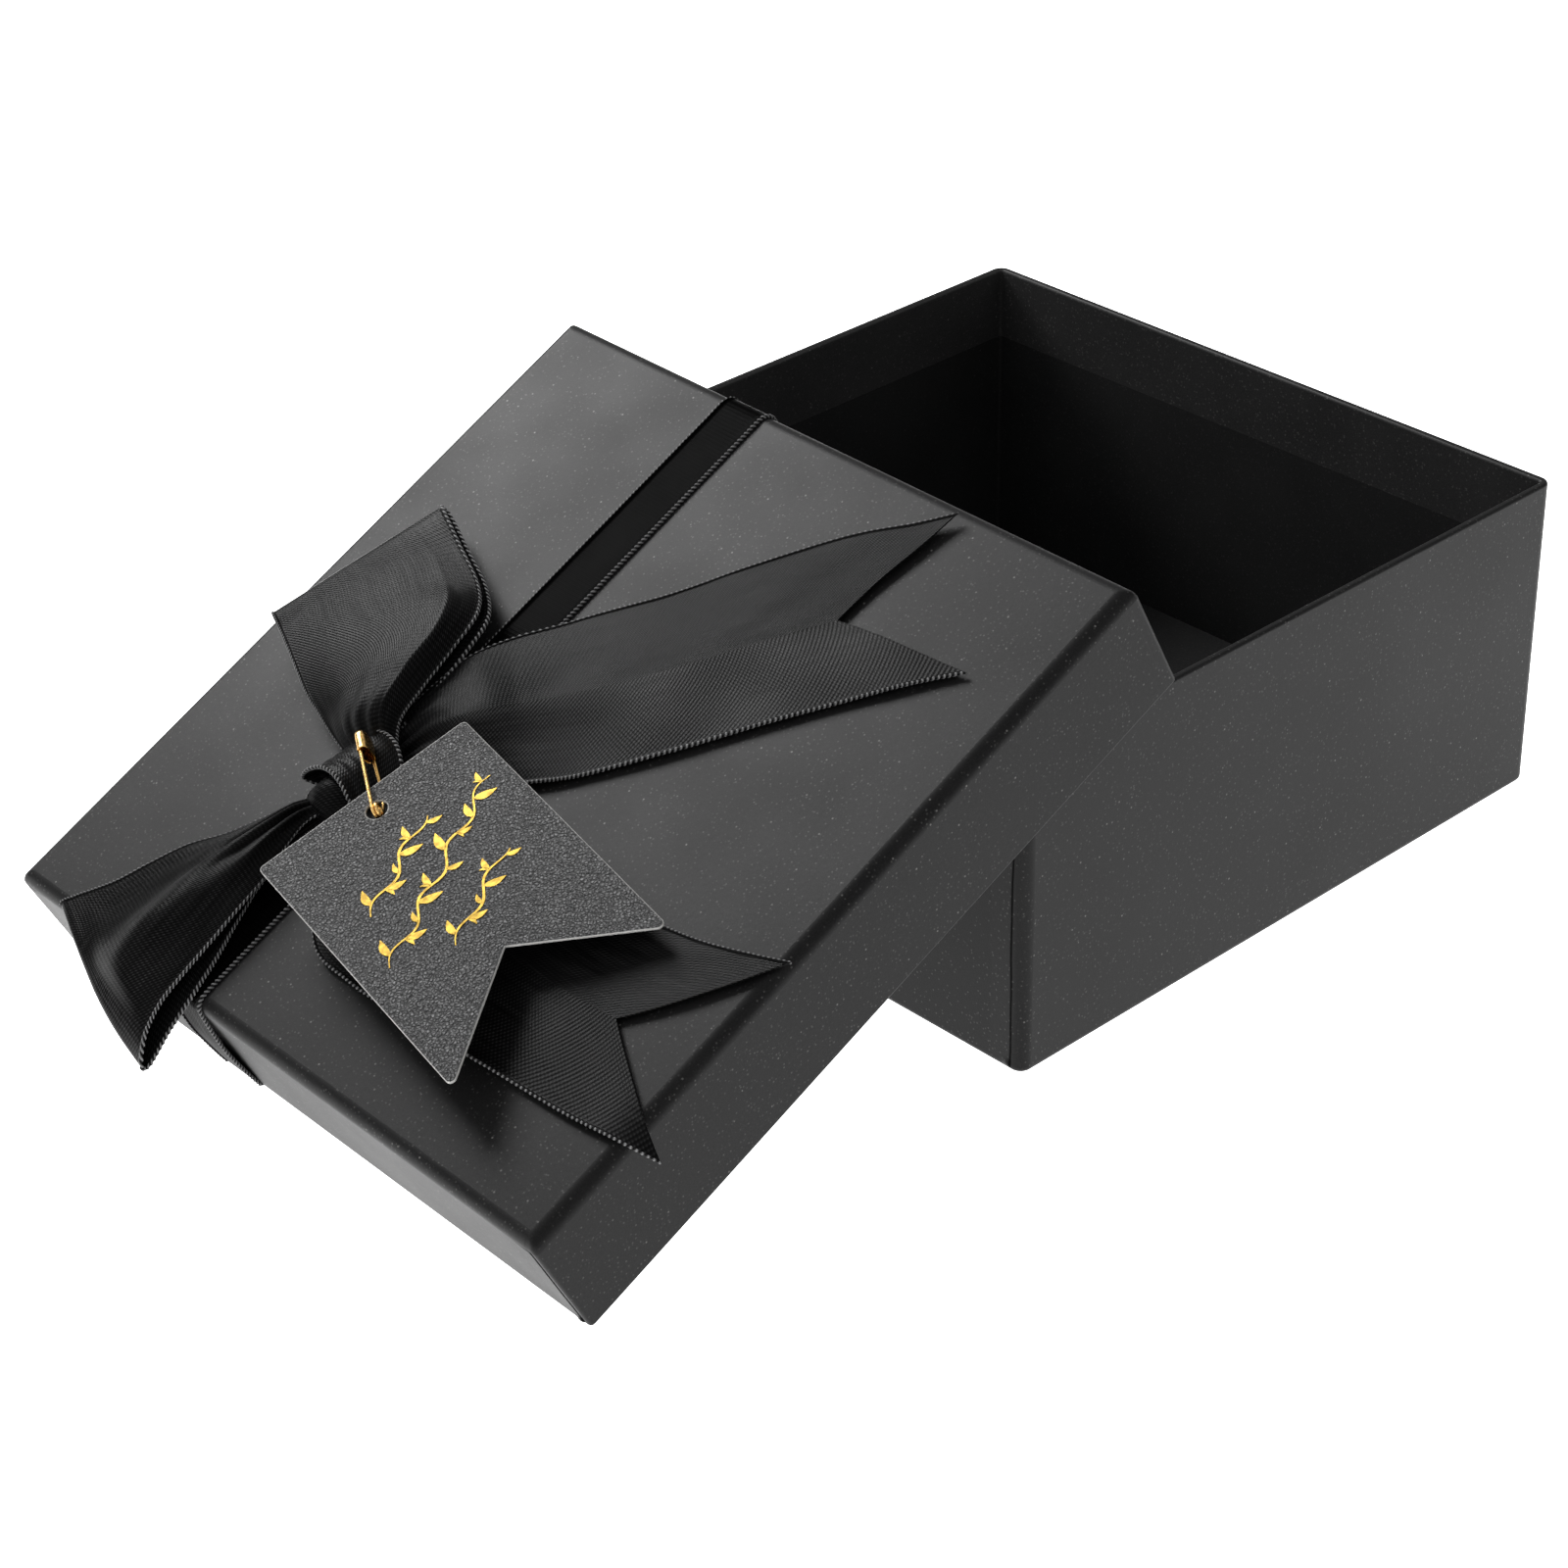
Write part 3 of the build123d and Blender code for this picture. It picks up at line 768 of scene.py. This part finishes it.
# Round the knot from its far foot over the crest to its near foot: across, height, and the ends along it
KNOT_RINGS = [
    (7.2, 1.0, -8.6, 4.0), (9.4, 2.6, -10.3, 4.4), (7.9, 5.2, -8.9, 5.0), (4.9, 6.9, -6.4, 6.2),
    (1.2, 7.4, -5.0, 7.9), (-2.6, 6.9, -4.8, 8.2), (-6.0, 5.0, -5.4, 6.8), (-7.8, 2.7, -6.2, 5.6),
    (-7.0, 1.0, -6.0, 5.0),
]
# The smooth puff of cloth that swells out of the knot's open end, in tenths of a millimetre
PUFF = np.reshape([
    -305, 330, 26, -305, 315, 46, -305, 295, 56, -305, 275, 54, -305, 255, 42, -305, 240, 24,
    -334, 342, 26, -333, 326, 48, -332, 304, 60, -332, 280, 59, -334, 258, 46, -336, 242, 22,
    -360, 354, 22, -361, 334, 42, -362, 312, 54, -363, 288, 53, -363, 268, 40, -362, 252, 18,
    -382, 346, 18, -384, 329, 32, -385, 312, 40, -386, 294, 39, -385, 279, 30, -382, 266, 15,
    -390, 334, 12, -395, 322, 17, -397, 311, 19, -398, 299, 18, -396, 288, 15, -391, 277, 11,
], (-1, 6, 3)) / 10


def gathers(count, most, clear=0.0, phase=0.0):
    """Pleats that take up cloth where a strip is drawn in by a fifth or more, past its clear length."""
    def lift(travel, share, wide):
        fullness = RIBBON_WIDTH / np.maximum(wide, 1.0)
        needed = wide / (2 * np.pi * count) * np.sqrt(2 * np.maximum(fullness ** 2 - 1, 0))
        drawn = np.clip((fullness - 1.2) / 1.1, 0, 1) * np.clip((travel - clear) / 5.0, 0, 1)
        edges = np.sin(np.pi * share) ** 0.5
        return np.minimum(needed, most) * drawn * edges * np.cos(2 * np.pi * count * share + phase)
    return lift


def loop_gathers(top, bottom, length):
    """One set of pleats on a loop's upper layer and another on the layer below it."""
    def whole(travel, share, wide):
        return np.where(travel < length / 2, top(travel, share, wide), -bottom(length - travel, share, wide))
    return whole


def soft_waves(lift, height, period):
    """Faint undulation over a whole strip, added to its pleats."""
    def whole(travel, share, wide):
        waves = np.sin(2 * np.pi * travel / period + 5 * share) * np.sin(7 * share + travel / period)
        return lift(travel, share, wide) + height * waves
    return whole


def make_bow_piece(name, net, node_name, lift, cut):
    length = strip_length(net)
    grid = surface(net, rows_for(net), BOW_COLUMNS)
    if cut > 0:
        grid = swallowtail(grid, cut / length)
    thing, _ = ribbon(name, grid, RIBBON_WIDTH, lid.place, "lid", lift)
    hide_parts(node_name)


def make_bow():
    upper_net = creased(UPPER_LOOP, LOOP_CRISP_COLUMN, LOOP_CRISP_REACH)
    upper = loop_gathers(gathers(5, 0.3), gathers(7, 0.8), strip_length(upper_net))
    make_bow_piece("bow_loop_upper_cloth", upper_net, "bow_loop_upper", upper, 0)
    lower = loop_gathers(gathers(4, 0.75, clear=3.0), gathers(7, 0.9), strip_length(LOWER_LOOP))
    make_bow_piece("bow_loop_lower_cloth", LOWER_LOOP, "bow_loop_lower", lower, 0)
    right = soft_waves(gathers(5, 0.8), 0.16, 28)
    make_bow_piece("bow_tail_right_cloth", RIGHT_TAIL, "bow_tail_right", right, NOTCH_DEPTH)
    front = soft_waves(gathers(4, 0.8, phase=1.0), 0.12, 26)
    make_bow_piece("bow_tail_front_cloth", FRONT_TAIL, "bow_tail_front", front, NOTCH_DEPTH)


def make_knot():
    turn = math.radians(KNOT_TURN)
    along = np.array([math.cos(turn), math.sin(turn)])
    aside = np.array([-math.sin(turn), math.cos(turn)])
    net = []
    for across, height, start, end in KNOT_RINGS:
        row = []
        for share, flare in ((0, 0.5), (0.12, 0.0), (0.35, -0.2), (0.65, -0.2), (0.88, 0.0), (1, 0.35)):
            spot = along * (start + (end - start) * share) + aside * across * (1 + flare / 12)
            row.append((*(np.array(KNOT_CENTRE) + spot), height + flare))
        net.append(row)
    grid = surface(net, rows_for(net) * 2, KNOT_COLUMNS)

    def creases(travel, share, wide):
        fade = np.exp(-((share - 0.25) / 0.28) ** 2)
        return KNOT_CREASE_DEPTH * np.cos(2 * np.pi * KNOT_CREASES * share + travel * 0.16) * fade

    thing, length = ribbon("bow_knot_cloth", grid, KNOT_WIDTH, lid.place, "lid", creases)
    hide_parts("bow_knot")
    puff = surface(PUFF, 3 * rows_for(PUFF), PUFF_COLUMNS)
    thing, length = ribbon("bow_knot_puff", puff, PUFF_WIDTH, lid.place, "lid")


# ---- tag

def tag_outline():
    """The tag's half width, head, foot, notch and hole, read from its CAD node."""
    local = tag_frame.read(corners("tag"))
    hole = local[np.hypot(local[:, 0], local[:, 1]) < 3.5]
    middle = local[np.abs(local[:, 0]) < 1.2]
    return (np.abs(local[:, 0]).max(), local[:, 1].max(), local[:, 1].min(), middle[:, 1].min(),
            np.hypot(hole[:, 0], hole[:, 1]).mean())


def pebbles(points):
    """Leather relief at each point, 0 in the creases and 1 on the pebbles."""
    relief = np.zeros(len(points))
    for index, (x, y) in enumerate(points):
        wander = 0.3 * math.sin(1.7 * y)
        cells = noise.voronoi(Vector((x * PEBBLE_ACROSS + wander, y * PEBBLE_DOWN, 0.0)))[0]
        relief[index] = min(1.0, (cells[1] - cells[0]) * PEBBLE_STEEPNESS)
    return relief


def rounded_corners(flat, shape, radius):
    """A flat grid's points with the polygon's outer corners drawn in to arcs."""
    rounded = flat.copy()
    middle = flat.mean(axis=0)
    for before, corner, after in zip(shape[-1:] + shape[:-1], shape, shape[1:] + shape[:1]):
        corner = np.array(corner)
        sides = [unit(np.array(other) - corner) for other in (before, after)]
        bisector = unit(sides[0] + sides[1])
        if bisector @ (middle - corner) < 0:
            continue
        half = math.acos(np.clip(sides[0] @ bisector, -1, 1))
        centre = corner + bisector * radius / math.sin(half)
        normals = [unit(-(bisector - side * (bisector @ side))) for side in sides]
        offset = flat - centre
        along = offset @ -bisector
        size = np.maximum(np.linalg.norm(offset, axis=1), 1e-9)
        beyond = along / size > math.cos(math.pi / 2 - half)
        nearest = np.maximum(offset @ normals[0], offset @ normals[1]) / size
        share = np.where(beyond, np.clip(nearest, 0, 1), 1.0)
        rounded = np.where(beyond[:, None], centre + offset * share[:, None], rounded)
    return rounded


def make_tag():
    """The tag: two embossed faces, a swallowtail foot, a punched hole and pale cut edges, partly a painted
    rim highlight.
    """
    half_width, head, foot, notch, hole = tag_outline()
    columns, rows = 2 * int(half_width / TAG_STEP) + 1, int((head - foot) / TAG_STEP)
    across = np.linspace(-1, 1, columns)
    down = np.linspace(0, 1, rows)
    bottom = notch + (foot - notch) * np.abs(across)
    x = np.broadcast_to(across * half_width, (rows, columns))
    y = head + (bottom[None, :] - head) * down[:, None]
    flat = np.stack([x, y], axis=-1).reshape(-1, 2)
    quads = grid_quads(np.arange(rows * columns).reshape(rows, columns))
    away = np.hypot(*flat.T)
    quads = quads[(away[quads] > hole - TAG_STEP / 3).all(axis=1)]
    sides = np.concatenate([quads[:, [0, 1]], quads[:, [1, 2]], quads[:, [2, 3]], quads[:, [3, 0]]])
    doubled = set(map(tuple, sides.tolist()))
    border = [(first, second) for first, second in doubled if (second, first) not in doubled]
    rim = np.unique(np.array(border))
    around_hole = rim[away[rim] < hole + 2 * TAG_STEP]
    flat[around_hole] *= (hole / away[around_hole])[:, None]
    edge = np.zeros(len(flat))
    edge[rim] = 1.0
    relief = np.where(edge > 0, RIM_RELIEF, pebbles(flat))
    shape = [(-half_width, head), (half_width, head), (half_width, foot), (0.0, notch), (-half_width, foot)]
    flat = rounded_corners(flat, shape, TAG_CORNER)
    lift = TAG_HALF + TAG_EMBOSS * (relief - MEAN_RELIEF) - RIM_DROP * edge
    count = len(flat)
    points = np.concatenate([np.column_stack([flat, lift]), np.column_stack([flat, -lift])])
    faces = [tuple(quad) for quad in quads] + [tuple(quad[::-1] + count) for quad in quads]
    faces += [(second, first, first + count, second + count) for first, second in border]
    used = np.unique(np.concatenate([quads.ravel(), rim]))
    number = np.full(2 * count, -1)
    kept = np.concatenate([used, used + count])
    number[kept] = np.arange(len(kept))
    faces = [tuple(int(number[corner]) for corner in face) for face in faces]
    thing = add_mesh("tag_leather", tag_frame.place(points[kept]), faces, tag_leatherette, "tag")
    store(thing, "relief", np.tile(relief, 2)[kept])
    store(thing, "edge", np.tile(edge, 2)[kept])
    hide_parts("tag")


def leaf(length, width, bend):
    """A flat leaf outline from its stalk at the origin along +X."""
    steps = np.linspace(0, 1, LEAF_STEPS)
    middle = np.stack([steps * length, bend * np.sin(np.pi * steps)], axis=1)
    swell = np.stack([0 * steps, width / 2 * np.sin(np.pi * steps ** 0.8)], axis=1)
    return np.concatenate([middle + swell, (middle - swell)[-2:0:-1]])


def turned(points, angle, origin):
    cos, sin = math.cos(angle), math.sin(angle)
    return points @ np.array([[cos, sin], [-sin, cos]]) + origin


def vine(length, leaves, height):
    """Outlines of a wavy stem with pairs of leaves along it, centred on the origin."""
    shapes = []
    steps = np.linspace(0, 1, STEM_STEPS)
    x = (steps - 0.5) * length
    y = height * 0.22 * np.sin(2 * np.pi * steps * length / VINE_WAVE)
    stem = 0.30 * np.sin(np.pi * np.clip(steps, 0.03, 0.97)) ** 0.4
    shapes.append(np.concatenate([np.stack([x, y + stem], 1), np.stack([x, y - stem], 1)[::-1]]))
    for number in range(leaves):
        share = (number + 0.6) / leaves
        place = np.array([np.interp(share, steps, x), np.interp(share, steps, y)])
        side = 1 if number % 2 == 0 else -1
        size = height * (0.72 + 0.2 * math.sin(2.3 * number + 0.5))
        shapes.append(turned(leaf(size, size * 0.36, 0.35 * side), side * 0.85, place))
        if number % 3 == 1:
            shapes.append(turned(leaf(size * 0.6, size * 0.2, -0.3 * side), side * 1.9, place))
    return shapes


def make_foil():
    """Gold foil sprigs, three slanted rows, pressed on the tag's face."""
    base = TAG_HALF - FOIL_SUNK
    points, faces = [], []
    for centre, length, leaves, height in FOIL_ROWS:
        for shape in vine(length, leaves, height):
            outline = turned(shape, FOIL_SLANT, np.array(centre))
            start, count = len(points), len(outline)
            for level in (base, base + FOIL_THICK):
                points += [(x, y, level) for x, y in outline]
            faces.append(tuple(range(start + count - 1, start - 1, -1)))
            faces.append(tuple(range(start + count, start + 2 * count)))
            for k in range(count):
                nxt = (k + 1) % count
                faces.append((start + k, start + nxt, start + count + nxt, start + count + k))
    add_mesh("tag_foil", tag_frame.place(points), faces, gold_foil, "tag", smooth=False)


# ---- pin cap and paper flaps

def slab(front, back, start=0):
    """Points and faces of a closed piece between two grids of the same shape."""
    rows, columns, _ = front.shape
    index = np.arange(rows * columns).reshape(rows, columns) + start
    quads = grid_quads(index)
    count = rows * columns
    rim = np.concatenate([index[0], index[1:, -1], index[-1, -2::-1], index[-2::-1, 0]])
    faces = [tuple(quad) for quad in quads] + [tuple(quad[::-1] + count) for quad in quads]
    faces += [(first, second, second + count, first + count) for first, second in zip(rim, rim[1:])]
    return np.concatenate([front.reshape(-1, 3), back.reshape(-1, 3)]), faces


def make_cap():
    """The safety pin's cap: a slotted sheet sleeve with a rounded nose."""
    hinge = joint("pin_open")
    metal = corners("pin_cap")
    side = np.array(hinge["axis"])
    ahead = unit(metal.mean(0) - np.array(hinge["pos_m"]))
    pin = Local(hinge["pos_m"], ahead, np.cross(ahead, side))
    local = pin.read(metal)
    low, high = local.min(0), local.max(0)
    centre = (low + high) / 2
    stations = np.linspace(0, 1, CAP_STATIONS)
    grids = []
    for inset in (0.0, CAP_SHEET):
        half_side = (high[1] - low[1]) / 2 * 0.92 - inset
        half_deep = (high[2] - low[2]) / 2 * 0.97 - inset
        rings = []
        for share in stations:
            nose = max(0.0, (share - CAP_NOSE) / (1 - CAP_NOSE))
            size = max(0.06, (1 - nose ** CAP_NOSE_POWER) ** (1 / CAP_NOSE_POWER))
            slot = CAP_SLOT * max(0.0, 1 - (share / CAP_SLOT_END) ** 6) + 0.004
            turn = np.linspace(slot, 2 * np.pi - slot, CAP_TURNS)
            across, deep = (np.sign(w) * np.abs(w) ** CAP_SQUARENESS for w in (np.sin(turn), np.cos(turn)))
            rings.append(np.stack([
                np.full(CAP_TURNS, low[0] + share * (high[0] - low[0] - inset)),
                centre[1] + size * half_side * across, centre[2] + size * half_deep * deep,
            ], axis=1))
        grids.append(np.array(rings))
    points, faces = slab(*grids)
    thing = add_mesh("pin_cap_sleeve", pin.place(points), faces, gold_wire, "pin_clasp")
    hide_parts("pin_cap")


def flap_points(outward, sideways, low, high, side, end):
    """One corner flap of covering paper, a thin wedge: its front, its back and how near its cut edge."""
    # Finer steps by the cut edge and by the hem, where the paper rolls; the first column closes the edge
    across = np.concatenate([[0, 0, 0.06, 0.2], np.linspace(0.5, FLAP_WIDTH, 12)])
    upright = np.concatenate([np.linspace(low, low + 6, 25), np.linspace(low + 6.5, high, 40)])
    face = (FLAP_THICK + FLAP_SUNK) * (1 - across / FLAP_WIDTH) * np.minimum(1.0, 0.75 + across) - FLAP_SUNK
    face[0] = -0.08
    roll = FLAP_ROLL * np.exp(-((across - 0.7) / 0.9) ** 2) * (across > 0)
    fold = np.exp(-((upright - low - 0.9) / 0.8) ** 2)
    # The cut wanders a little, as scissors leave it
    wander = 0.10 * np.sin(upright / 7.0) + 0.05 * np.sin(upright / 2.3 + side)
    proud = face[None, :] + roll[None, :] * fold[:, None]
    ends = np.minimum(np.minimum(upright - low, high - upright) / 0.4, 1.0)[:, None]
    proud = proud * ends - 0.06 * (1 - ends)
    place = np.stack(np.broadcast_arrays(
        side * (outward + proud), end * (sideways - across[None, :] + wander[:, None]), upright[:, None],
    ), axis=-1)
    behind = place.copy()
    behind[:, :, 0] = side * (outward - FLAP_BACK)
    return place, behind, np.interp(across, (0.0, 0.2, 0.5), (1.0, 0.8, 0.0))


def make_flaps():
    """The covering paper's cut edges beside the upright corners of both trays."""
    floor_frame = Local((0, 0, 0), (1, 0, 0), (0, 0, 1))
    tray = floor_frame.read(corners("base_wrap")).max(0)
    jobs = [
        ("base_paper_flaps", floor_frame, tray[0], tray[1] - FLAP_INSET, 1.1, tray[2] - 0.8, "base"),
        ("lid_paper_flaps", lid, lid_size[0] / 2, lid_size[1] / 2 - LID_FLAP_INSET, 0.8 - lid_size[2],
         -2.6, "lid"),
    ]
    for name, space, outward, sideways, low, high, body in jobs:
        points, faces, edges = [], [], []
        for side in (-1, 1):
            for end in (-1, 1):
                front, back, cut = flap_points(outward, sideways, low, high, side, end)
                part, sides = slab(front, back, len(points))
                points += part.tolist()
                faces += sides
                edges.append(np.tile(cut, 2 * len(front)))
        thing = add_mesh(name, space.place(points), faces, wrap_paper, body)
        store(thing, "edge", np.concatenate(edges))


def tighter_corner(angles, wide, tight):
    """How far a corner of radius tight reaches, and where it faces, seen from the centre of a wide one."""
    ray = np.stack([np.cos(angles), np.sin(angles)], axis=-1)
    reach = wide / ray.max(axis=-1)
    centre = np.full(2, wide - tight)
    inward = ray @ centre
    arc = inward + np.sqrt(np.maximum(inward ** 2 - centre @ centre + tight ** 2, 0))
    on_arc = (ray * reach[:, None]).min(axis=-1) > wide - tight
    reach = np.where(on_arc, arc, reach)
    spot = ray * reach[:, None] - centre
    flat = np.where(ray[:, 0] > ray[:, 1], 0, np.pi / 2)
    return reach / wide, np.where(on_arc, np.arctan2(spot[:, 1], spot[:, 0]), flat)


def make_lid_wrap():
    """The lid's covering paper, creased tightly round its upright corners."""
    data = frame["nodes"]["lid_wrap"].data.copy()
    local = lid.read(corners("lid_wrap"))
    signs = np.where(local[:, :2] < 0, -1.0, 1.0)
    centre = lid_size[:2] / 2 - LID_CORNER
    offset = local[:, :2] * signs - centre
    within = (offset > 1e-3).all(axis=1)
    away = np.hypot(*offset.T)
    angles = np.clip(np.arctan2(offset[:, 1], offset[:, 0]), 0, np.pi / 2)
    growth, facing = tighter_corner(angles, LID_CORNER, LID_CREASE)
    weight = np.clip((away - LID_CORNER + LID_WALL) / LID_WALL_BLEND, 0, 1)
    weight = np.where(within, np.where(local[:, 2] > -LID_EDGE, 1.0, weight), 0.0)
    local[:, :2] = (offset * (1 + (growth - 1) * weight)[:, None] + centre) * signs
    normals = np.zeros(3 * len(data.loops))
    data.corner_normals.foreach_get("vector", normals)
    index = loop_points(data)
    normals = normals.reshape(-1, 3) @ lid.axes.T
    level = normals[:, :2] * signs[index]
    size = np.hypot(*level.T) * np.sign(level.sum(axis=1))
    turned_level = size[:, None] * np.stack([np.cos(facing), np.sin(facing)], axis=1)[index] * signs[index]
    moved = (weight[index] > 0.99)[:, None]
    normals[:, :2] = np.where(moved, turned_level, normals[:, :2])
    data.vertices.foreach_set("co", lid.place(local).ravel())
    data.normals_split_custom_set((normals @ lid.axes).tolist())
    data.materials.clear()
    data.materials.append(wrap_paper)
    thing = show("lid_wrap_paper", data)
    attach(thing, "lid")
    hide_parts("lid_wrap")


# ---- stage

def make_stage():
    """A pale floor with a painted glow, strongest near the box: the glow lights the box from below and
    washes out its shadow.
    """
    made, tree, shader = new_material("floor_white_painted_glow")
    place = object_place(tree)
    tone = mix_colour(tree, noise_node(tree, place, 3.0, 2.0), *FLOOR_TONES)
    away = node(tree, "VectorMath", {0: place}, operation="LENGTH").outputs["Value"]
    # Painted glow: emission that stands in for light, strongest beside the box
    feed(tree, shader, {
        "Base Color": tone, "Roughness": 0.8, "Specular IOR Level": 0.1, "Emission Color": tone,
        "Emission Strength": remap(tree, away, FLOOR_NEAR, FLOOR_FAR, GLOW_NEAR, GLOW_FAR),
    })
    data = bpy.data.meshes.new("floor")
    size = FLOOR_HALF
    data.from_pydata([(-size, -size, 0), (size, -size, 0), (size, size, 0), (-size, size, 0)], [],
                     [(0, 1, 2, 3)])
    data.materials.append(made)
    floor = show("floor", data)


def area_light(name, place, size, power):
    data = bpy.data.lights.new(name, "AREA")
    data.shape = "DISK"
    data.size = size
    data.energy = power
    thing = show(name, data)
    thing.location = place
    thing.rotation_mode = "QUATERNION"
    thing.rotation_quaternion = (Vector(LIGHT_AIM) - Vector(place)).to_track_quat("-Z", "Y")


def make_lights():
    """A soft room, dimmer at the horizon than overhead, with two large soft boxes."""
    world = bpy.data.worlds.new("studio")
    world.use_nodes = True
    tree = world.node_tree
    background = tree.nodes["Background"]
    up = node(tree, "SeparateXYZ", {"Vector": object_place(tree)}).outputs["Z"]
    tone = mix_colour(tree, remap(tree, up, 0.0, 0.9), HORIZON_TONE, OVERHEAD_TONE)
    feed(tree, background, {"Color": tone, "Strength": 1.0})
    bpy.context.scene.world = world
    area_light("key", *KEY_LIGHT)
    area_light("fill", *FILL_LIGHT)


def make_camera():
    data = bpy.data.cameras.new("camera")
    data.lens = CAMERA_LENS
    data.sensor_width = CAMERA_SENSOR
    data.clip_start = 0.01
    data.clip_end = 50.0
    thing = show("camera", data)
    columns = [Vector(CAMERA_RIGHT), -Vector(CAMERA_DOWN), -Vector(CAMERA_AHEAD)]
    turn = Matrix(columns).transposed()
    thing.matrix_world = Matrix.Translation(Vector(CAMERA_PLACE)) @ turn.to_4x4()
    bpy.context.scene.camera = thing


dress_cad_nodes()
make_band()
make_bow()
make_knot()
make_tag()
make_foil()
make_cap()
make_flaps()
make_lid_wrap()
make_stage()
make_lights()
make_camera()
bpy.context.scene.view_settings.view_transform = "Standard"
